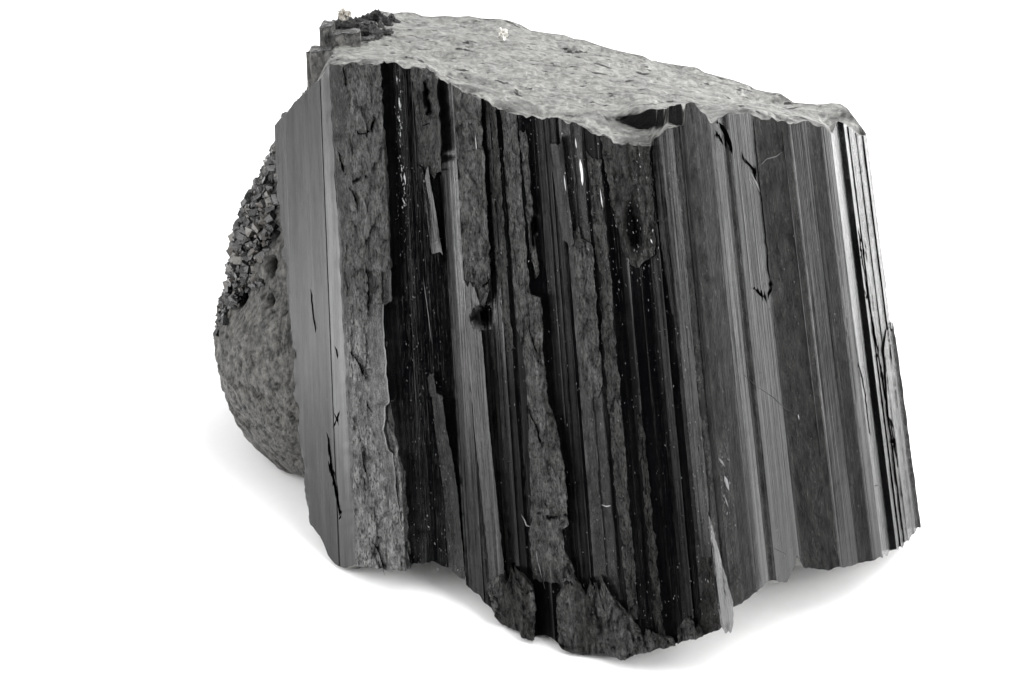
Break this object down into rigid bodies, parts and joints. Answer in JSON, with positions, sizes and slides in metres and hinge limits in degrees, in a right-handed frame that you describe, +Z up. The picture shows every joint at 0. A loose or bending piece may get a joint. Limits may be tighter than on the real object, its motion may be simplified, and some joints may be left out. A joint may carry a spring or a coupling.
{
  "type": "tourmaline crystal",
  "caption": "Broken section of a black tourmaline crystal: striated prism with a flat fractured top, rough flank and ragged base, resting on the base.",
  "frame": {"origin": "middle of the bounding box in X and Y, on the ground plane the base rests on", "axes": "+Z up as the crystal rests, -Y towards the striated front, +X to the right seen from the front"},
  "size_m": [0.0916, 0.083, 0.0634],
  "materials": {
    "tourmaline": "natural crystal: glossy striated faces, rough grey fractures",
    "white_grain": "matt mineral grain",
    "brown_grain": "matt mineral grain"
  },
  "bodies": {
    "root": {"tourmaline_crystal": "tourmaline", "white_grain": "white_grain", "stub_grain": "brown_grain"}
  },
  "joints": []
}
